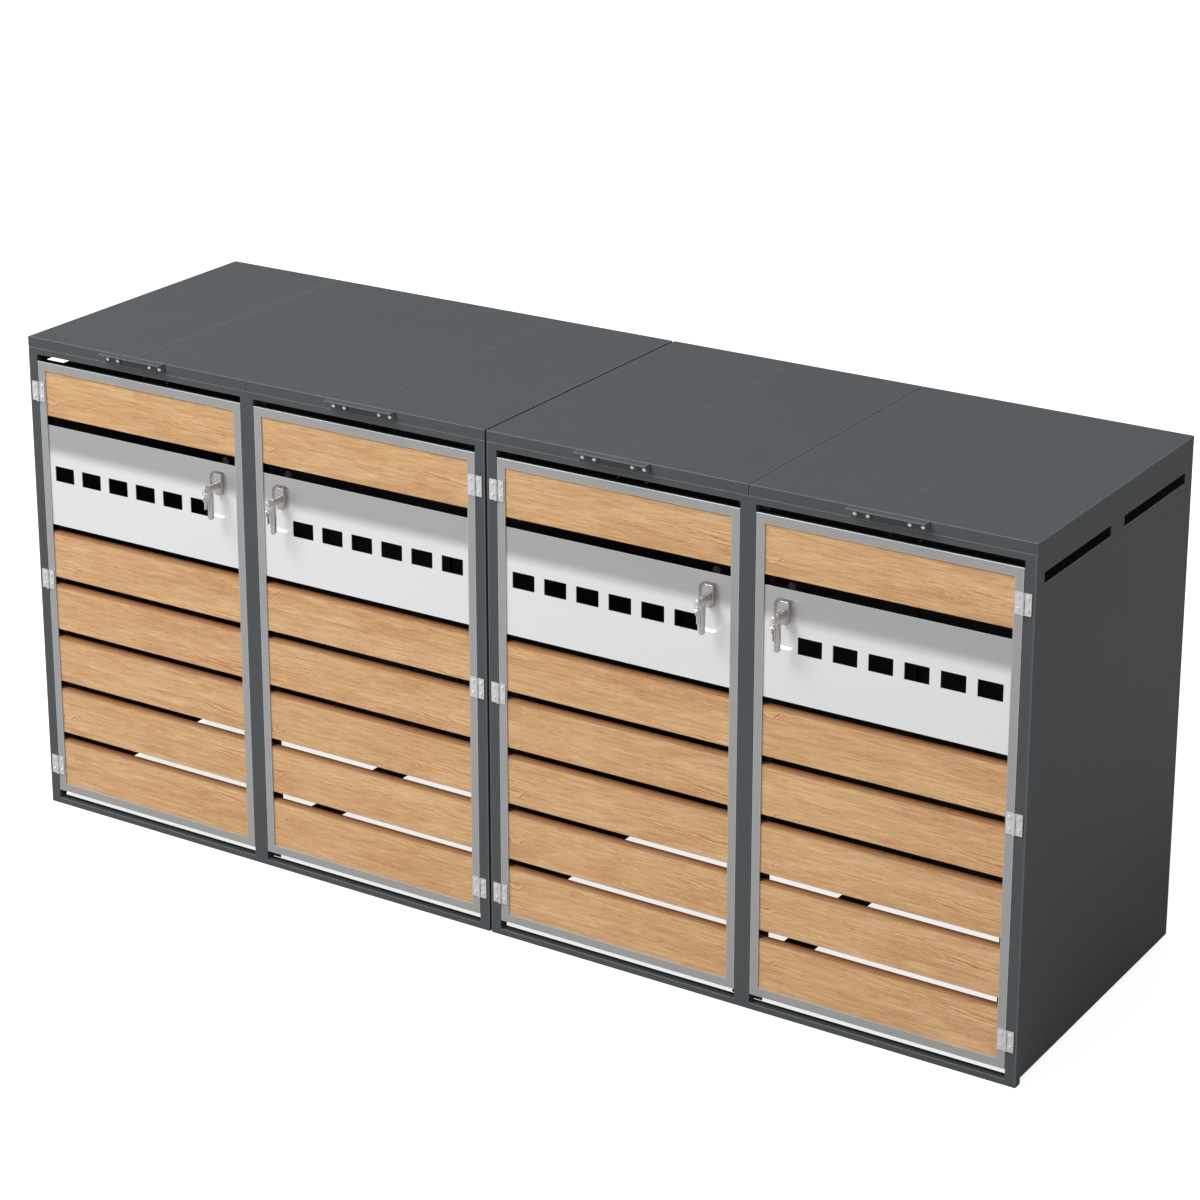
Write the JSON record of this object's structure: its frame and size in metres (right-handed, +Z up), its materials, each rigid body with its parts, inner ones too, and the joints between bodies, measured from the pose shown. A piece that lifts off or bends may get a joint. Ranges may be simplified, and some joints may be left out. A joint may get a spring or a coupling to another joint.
{
  "type": "recycling bin station",
  "caption": "Outdoor store for wheeled recycling bins: steel cabinet with boarded doors, lever locks and lifting lids.",
  "frame": {"origin": "centre of the footprint, at floor level", "axes": "+X along the front, doors face -Y, +Z up"},
  "size_m": [2.596, 0.8422, 1.19],
  "materials": {
    "body_coat": "anthracite powder coat, fine texture, matt",
    "black_coat": "black powder coat, fine texture, matt",
    "door_frame": "satin light grey metal",
    "oak_board": "light oak, horizontal grain, clear matt finish",
    "panel_sheet": "finely brushed stainless sheet",
    "lock_metal": "satin cast metal",
    "key_steel": "bright nickel plate",
    "stainless": "bright stainless steel",
    "rubber": "black rubber"
  },
  "bodies": {
    "cabinet": {"left_module_wall_left": "body_coat", "left_module_wall_right": "body_coat", "left_module_back": "body_coat", "left_module_front_frame": "body_coat", "left_module_rear_frame": "body_coat", "right_module_wall_left": "body_coat", "right_module_wall_right": "body_coat", "right_module_back": "body_coat", "right_module_front_frame": "body_coat", "right_module_rear_frame": "body_coat", "centre_rails": "body_coat", "rear_feet": "rubber", "module_couplers": "stainless", "lid_buffers": "rubber", "post_hinge_leaves": "stainless", "wall_lid_hinge_leaves": "stainless"},
    "door_1": {"door_1_face_frame": "door_frame", "door_1_sub_frame": "black_coat", "door_1_boards": "oak_board", "door_1_panel": "panel_sheet", "door_1_lock_body": "lock_metal", "door_1_hinge_leaves": "stainless"},
    "lever_1": {"door_1_lock_lever": "lock_metal"},
    "key_1": {"door_1_keys": "key_steel"},
    "lid_1": {"lid_1_halves": "body_coat", "lid_1_handle": "body_coat", "lid_1_fittings": "stainless"},
    "door_2": {"door_2_face_frame": "door_frame", "door_2_sub_frame": "black_coat", "door_2_boards": "oak_board", "door_2_panel": "panel_sheet", "door_2_lock_body": "lock_metal", "door_2_hinge_leaves": "stainless"},
    "lever_2": {"door_2_lock_lever": "lock_metal"},
    "key_2": {"door_2_keys": "key_steel"},
    "lid_2": {"lid_2_halves": "body_coat", "lid_2_handle": "body_coat", "lid_2_fittings": "stainless"},
    "door_3": {"door_3_face_frame": "door_frame", "door_3_sub_frame": "black_coat", "door_3_boards": "oak_board", "door_3_panel": "panel_sheet", "door_3_lock_body": "lock_metal", "door_3_hinge_leaves": "stainless"},
    "lever_3": {"door_3_lock_lever": "lock_metal"},
    "key_3": {"door_3_keys": "key_steel"},
    "lid_3": {"lid_3_halves": "body_coat", "lid_3_handle": "body_coat", "lid_3_fittings": "stainless"},
    "door_4": {"door_4_face_frame": "door_frame", "door_4_sub_frame": "black_coat", "door_4_boards": "oak_board", "door_4_panel": "panel_sheet", "door_4_lock_body": "lock_metal", "door_4_hinge_leaves": "stainless"},
    "lever_4": {"door_4_lock_lever": "lock_metal"},
    "key_4": {"door_4_keys": "key_steel"},
    "lid_4": {"lid_4_halves": "body_coat", "lid_4_handle": "body_coat", "lid_4_fittings": "stainless"}
  },
  "joints": [
    {"name": "door_1_hinge", "type": "hinge", "parent": "cabinet", "child": "door_1", "pos_m": [-1.27275, -0.3673, 0.587], "axis": [0, 0, -1], "range_deg": [0, 110]},
    {"name": "lever_1_turn", "type": "hinge", "parent": "door_1", "child": "lever_1", "pos_m": [-0.74025, -0.3981, 0.9265], "axis": [0, 1, 0], "range_deg": [0, 90]},
    {"name": "key_1_turn", "type": "hinge", "parent": "lever_1", "child": "key_1", "pos_m": [-0.74025, -0.3981, 0.9265], "axis": [0, 1, 0], "range_deg": [0, 90]},
    {"name": "lid_1_hinge", "type": "hinge", "parent": "cabinet", "child": "lid_1", "pos_m": [-0.9748, 0.4181, 1.1656], "axis": [-1, 0, 0], "range_deg": [0, 100]},
    {"name": "door_2_hinge", "type": "hinge", "parent": "cabinet", "child": "door_2", "pos_m": [-0.02825, -0.3673, 0.587], "axis": [0, 0, 1], "range_deg": [0, 85]},
    {"name": "lever_2_turn", "type": "hinge", "parent": "door_2", "child": "lever_2", "pos_m": [-0.56075, -0.3981, 0.9265], "axis": [0, -1, 0], "range_deg": [0, 90]},
    {"name": "key_2_turn", "type": "hinge", "parent": "lever_2", "child": "key_2", "pos_m": [-0.56075, -0.3981, 0.9265], "axis": [0, -1, 0], "range_deg": [0, 90]},
    {"name": "lid_2_hinge", "type": "hinge", "parent": "cabinet", "child": "lid_2", "pos_m": [-0.3262, 0.4181, 1.1656], "axis": [-1, 0, 0], "range_deg": [0, 100]},
    {"name": "door_3_hinge", "type": "hinge", "parent": "cabinet", "child": "door_3", "pos_m": [0.02825, -0.3673, 0.587], "axis": [0, 0, -1], "range_deg": [0, 85]},
    {"name": "lever_3_turn", "type": "hinge", "parent": "door_3", "child": "lever_3", "pos_m": [0.56075, -0.3981, 0.9265], "axis": [0, 1, 0], "range_deg": [0, 90]},
    {"name": "key_3_turn", "type": "hinge", "parent": "lever_3", "child": "key_3", "pos_m": [0.56075, -0.3981, 0.9265], "axis": [0, 1, 0], "range_deg": [0, 90]},
    {"name": "lid_3_hinge", "type": "hinge", "parent": "cabinet", "child": "lid_3", "pos_m": [0.3262, 0.4181, 1.1656], "axis": [-1, 0, 0], "range_deg": [0, 100]},
    {"name": "door_4_hinge", "type": "hinge", "parent": "cabinet", "child": "door_4", "pos_m": [1.27275, -0.3673, 0.587], "axis": [0, 0, 1], "range_deg": [0, 110]},
    {"name": "lever_4_turn", "type": "hinge", "parent": "door_4", "child": "lever_4", "pos_m": [0.74025, -0.3981, 0.9265], "axis": [0, -1, 0], "range_deg": [0, 90]},
    {"name": "key_4_turn", "type": "hinge", "parent": "lever_4", "child": "key_4", "pos_m": [0.74025, -0.3981, 0.9265], "axis": [0, -1, 0], "range_deg": [0, 90]},
    {"name": "lid_4_hinge", "type": "hinge", "parent": "cabinet", "child": "lid_4", "pos_m": [0.9748, 0.4181, 1.1656], "axis": [-1, 0, 0], "range_deg": [0, 100]}
  ]
}
